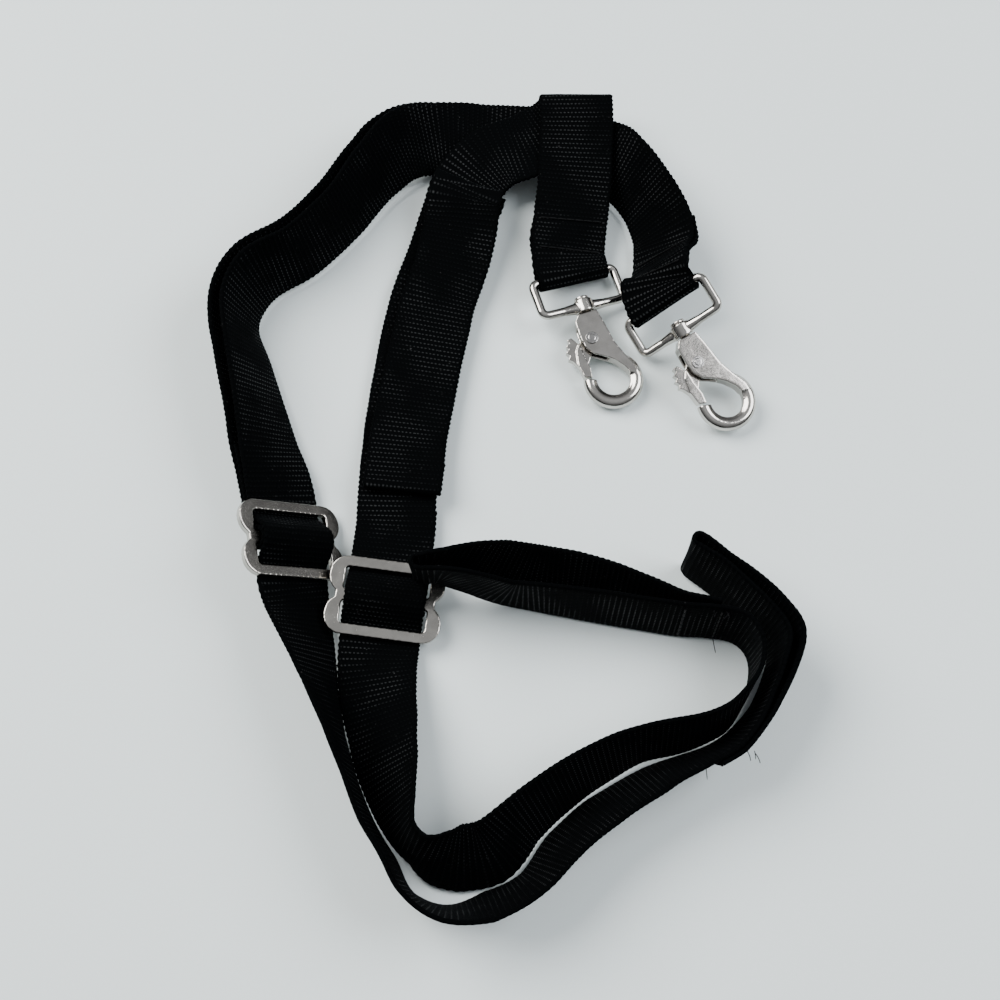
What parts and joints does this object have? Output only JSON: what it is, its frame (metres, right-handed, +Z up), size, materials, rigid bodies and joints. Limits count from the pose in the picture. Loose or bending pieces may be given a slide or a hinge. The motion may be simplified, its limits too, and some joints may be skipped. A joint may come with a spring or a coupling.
{
  "type": "webbing martingale straps",
  "caption": "Webbing martingale laid out folded: snap straps with swivel trigger snaps, flat slide adjusters and sewn girth loops.",
  "frame": {"origin": "centre of the laid-out straps' outline, on the surface they rest on", "axes": "+Z up; +Y from the sewn girth loops towards the top bend of the straps; +X to the right seen from above, towards the snaps"},
  "size_m": [0.1863, 0.2823, 0.0364],
  "materials": {
    "webbing": "woven nylon",
    "thread": "bonded thread",
    "snap_metal": "satin nickel plate",
    "slide_metal": "satin nickel plate",
    "steel": "bare steel"
  },
  "bodies": {
    "webbing": {"snap_strap_a": "webbing", "girth_strap_a": "webbing", "snap_stitching_a": "thread", "slide_stitching_a": "thread", "loop_stitching_a": "thread", "snap_strap_b": "webbing", "girth_strap_b": "webbing", "snap_stitching_b": "thread", "slide_stitching_b": "thread", "loop_stitching_b": "thread"},
    "tail_a": {"tail_flap_a": "webbing", "tail_stitching_a": "thread"},
    "eye_a": {"eye_a": "snap_metal"},
    "hook_a": {"hook_a": "snap_metal", "rivet_a": "steel", "gate_spring_a": "steel"},
    "gate_a": {"gate_a": "snap_metal"},
    "slide_a": {"slide_a": "slide_metal"},
    "eye_b": {"eye_b": "snap_metal"},
    "hook_b": {"hook_b": "snap_metal", "rivet_b": "steel", "gate_spring_b": "steel"},
    "gate_b": {"gate_b": "snap_metal"},
    "slide_b": {"slide_b": "slide_metal"}
  },
  "joints": [
    {"name": "eye_a_tilt", "type": "hinge", "parent": "webbing", "child": "eye_a", "pos_m": [0.02655, 0.07091, 0.00734], "axis": [-0.9227, -0.3353, 0.1901], "range_deg": [-25, 10]},
    {"name": "hook_a_swivel", "type": "hinge", "parent": "eye_a", "child": "hook_a", "pos_m": [0.03044, 0.05961, 0.00629], "axis": [0.3243, -0.9419, -0.0872], "range_deg": [-150, 150]},
    {"name": "gate_a_open", "type": "hinge", "parent": "hook_a", "child": "gate_a", "pos_m": [0.03263, 0.04772, 0.00524], "axis": [0.0284, -0.0824, 0.9962], "range_deg": [0, 20], "stiffness_Nm_per_rad": 0.01, "springref_deg": -11.46},
    {"name": "slide_a_tilt", "type": "hinge", "parent": "webbing", "child": "slide_a", "pos_m": [-0.03386, -0.04309, 0.00719], "axis": [0.9907, -0.1167, -0.0696], "range_deg": [-0.8, 0.8]},
    {"name": "eye_b_tilt", "type": "hinge", "parent": "webbing", "child": "eye_b", "pos_m": [0.0562, 0.05807, 0.01429], "axis": [-0.7705, -0.3273, -0.547], "range_deg": [-20, 60]},
    {"name": "hook_b_swivel", "type": "hinge", "parent": "eye_b", "child": "hook_b", "pos_m": [0.06224, 0.04801, 0.01179], "axis": [0.5038, -0.8384, -0.2079], "continuous": true},
    {"name": "gate_b_open", "type": "hinge", "parent": "hook_b", "child": "gate_b", "pos_m": [0.06674, 0.03702, 0.00929], "axis": [0.1071, -0.1782, 0.9781], "range_deg": [0, 20], "stiffness_Nm_per_rad": 0.01, "springref_deg": -11.46},
    {"name": "slide_b_tilt", "type": "hinge", "parent": "webbing", "child": "slide_b", "pos_m": [-0.06316, -0.02559, 0.01329], "axis": [0.7544, 0.133, -0.6428], "range_deg": [-0.8, 0.8]},
    {"name": "tail_a_lift", "type": "hinge", "parent": "webbing", "child": "tail_a", "pos_m": [-0.00896, 0.10181, 0.01239], "axis": [-0.9135, 0.4067, 0], "range_deg": [0, 60]}
  ]
}
